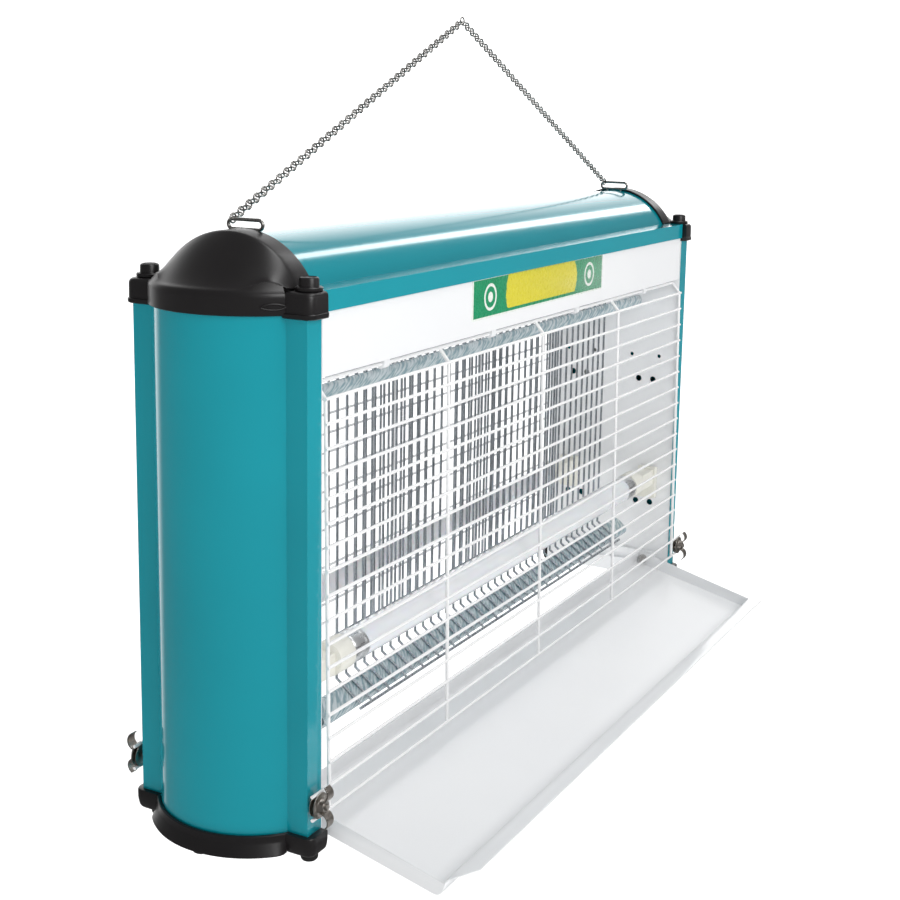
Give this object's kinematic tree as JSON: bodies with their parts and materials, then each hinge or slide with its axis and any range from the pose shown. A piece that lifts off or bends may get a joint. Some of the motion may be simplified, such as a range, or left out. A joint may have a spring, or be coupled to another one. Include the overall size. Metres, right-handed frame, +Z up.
{
  "type": "electric bug zapper",
  "caption": "Hanging double-sided electric insect killer with wire grilles, high-voltage rod grid, UV tubes and a pull-out catch tray.",
  "frame": {"origin": "middle of the top link of the hanging chain, at the top of its wire, where the ceiling hook carries it", "axes": "+Z up, +X along the lamps towards the right column, -Y towards the side where the tray comes out"},
  "size_m": [0.846, 0.2952, 0.6446],
  "materials": {
    "teal_paint": "glossy teal powder coat",
    "black_plastic": "satin moulded plastic",
    "black_rubber": "matt",
    "white_paint": "glossy white powder coat",
    "label": "plain printed film, green and yellow areas",
    "steel": "bright plated wire",
    "dark_steel": "dull plated steel",
    "rod_steel": "drawn wire",
    "rail_plastic": "translucent insulating plastic",
    "lamp_glass": "coated tube glass",
    "lamp_cap": "satin",
    "brass": "bright",
    "cream_plastic": "smooth moulded plastic",
    "white_plastic": "smooth moulded plastic",
    "ballast_steel": "grey enamel",
    "core_iron": "varnished laminations",
    "capacitor_film": "smooth"
  },
  "bodies": {
    "hanger": {"left_chain": "steel", "right_chain": "steel", "top_link": "steel"},
    "front_grille": {"front_grille": "white_paint"},
    "rear_grille": {"rear_grille": "white_paint"},
    "front_left_wing_screw": {"front_left_wing_screw": "dark_steel"},
    "front_right_wing_screw": {"front_right_wing_screw": "dark_steel"},
    "rear_left_wing_screw": {"rear_left_wing_screw": "dark_steel"},
    "rear_right_wing_screw": {"rear_right_wing_screw": "dark_steel"},
    "tray_pins": {"tray_guide_pins": "steel"},
    "tray": {"tray": "white_paint"},
    "front_lamp": {"front_lamp_glass": "lamp_glass", "front_lamp_caps": "lamp_cap", "front_lamp_pins": "brass"},
    "rear_lamp": {"rear_lamp_glass": "lamp_glass", "rear_lamp_caps": "lamp_cap", "rear_lamp_pins": "brass"},
    "front_starter": {"front_starter": "white_plastic"},
    "rear_starter": {"rear_starter": "white_plastic"},
    "housing": {"left_column": "teal_paint", "right_column": "teal_paint", "left_top_cap": "black_plastic", "right_top_cap": "black_plastic", "left_base_cap": "black_plastic", "right_base_cap": "black_plastic", "rubber_feet": "black_rubber", "tie_rods": "steel", "cap_knobs": "black_plastic", "left_inner_panel": "white_paint", "right_inner_panel": "white_paint", "top_cover": "teal_paint", "front_header_panel": "white_paint", "rear_header_panel": "white_paint", "front_label": "label", "chassis_plate": "white_paint", "tray_runners": "white_paint", "grille_hanger_clips": "white_paint", "front_live_rods": "rod_steel", "front_earth_rods": "rod_steel", "rear_live_rods": "rod_steel", "rear_earth_rods": "rod_steel", "top_grid_rails": "rail_plastic", "bottom_grid_rails": "rail_plastic", "front_left_lampholder": "cream_plastic", "front_right_lampholder": "cream_plastic", "rear_left_lampholder": "cream_plastic", "rear_right_lampholder": "cream_plastic", "starter_sockets": "cream_plastic", "left_ballast": "ballast_steel", "right_ballast": "ballast_steel", "hv_transformer": "core_iron", "hv_capacitor": "capacitor_film", "terminal_block": "cream_plastic", "cable_gland": "black_plastic", "header_screws": "steel", "left_bail": "steel", "right_bail": "steel", "bail_nuts": "steel"}
  },
  "joints": [
    {"name": "hang_swing", "type": "hinge", "parent": "hanger", "child": "housing", "pos_m": [0, 0, -0.1643], "axis": [1, 0, 0], "range_deg": [-15, 15]},
    {"name": "front_grille_swing", "type": "hinge", "parent": "housing", "child": "front_grille", "pos_m": [0, -0.082, -0.276], "axis": [-1, 0, 0], "range_deg": [0, 60]},
    {"name": "rear_grille_swing", "type": "hinge", "parent": "housing", "child": "rear_grille", "pos_m": [0, 0.058, -0.276], "axis": [1, 0, 0], "range_deg": [0, 60]},
    {"name": "front_left_wing_turn", "type": "hinge", "parent": "front_grille", "child": "front_left_wing_screw", "pos_m": [-0.3796, -0.096, -0.58895], "axis": [0, -1, 0], "continuous": true},
    {"name": "front_right_wing_turn", "type": "hinge", "parent": "front_grille", "child": "front_right_wing_screw", "pos_m": [0.3796, -0.096, -0.58895], "axis": [0, -1, 0], "continuous": true},
    {"name": "rear_left_wing_turn", "type": "hinge", "parent": "rear_grille", "child": "rear_left_wing_screw", "pos_m": [-0.3796, 0.072, -0.58895], "axis": [0, 1, 0], "continuous": true},
    {"name": "rear_right_wing_turn", "type": "hinge", "parent": "rear_grille", "child": "rear_right_wing_screw", "pos_m": [0.3796, 0.072, -0.58895], "axis": [0, 1, 0], "continuous": true},
    {"name": "tray_slide", "type": "slide", "parent": "housing", "child": "tray_pins", "axis": [0, 0.9992, -0.0404], "range_m": [0, 0.09908]},
    {"name": "tray_tilt", "type": "hinge", "parent": "tray_pins", "child": "tray", "pos_m": [0, -0.062, -0.606], "axis": [-1, 0, 0], "range_deg": [0, 13.6]},
    {"name": "front_lamp_twist", "type": "hinge", "parent": "housing", "child": "front_lamp", "pos_m": [0, -0.062, -0.504], "axis": [1, 0, 0], "range_deg": [0, 90]},
    {"name": "rear_lamp_twist", "type": "hinge", "parent": "housing", "child": "rear_lamp", "pos_m": [0, 0.038, -0.504], "axis": [1, 0, 0], "range_deg": [0, 90]},
    {"name": "front_starter_twist", "type": "hinge", "parent": "housing", "child": "front_starter", "pos_m": [-0.25, -0.057, -0.2515], "axis": [0, 0, 1], "range_deg": [0, 45]},
    {"name": "rear_starter_twist", "type": "hinge", "parent": "housing", "child": "rear_starter", "pos_m": [-0.25, 0.033, -0.2515], "axis": [0, 0, 1], "range_deg": [0, 45]}
  ],
  "couplings": [
    {"joint": "tray_tilt", "follows": "tray_slide", "rad_per_m": 2.378}
  ]
}
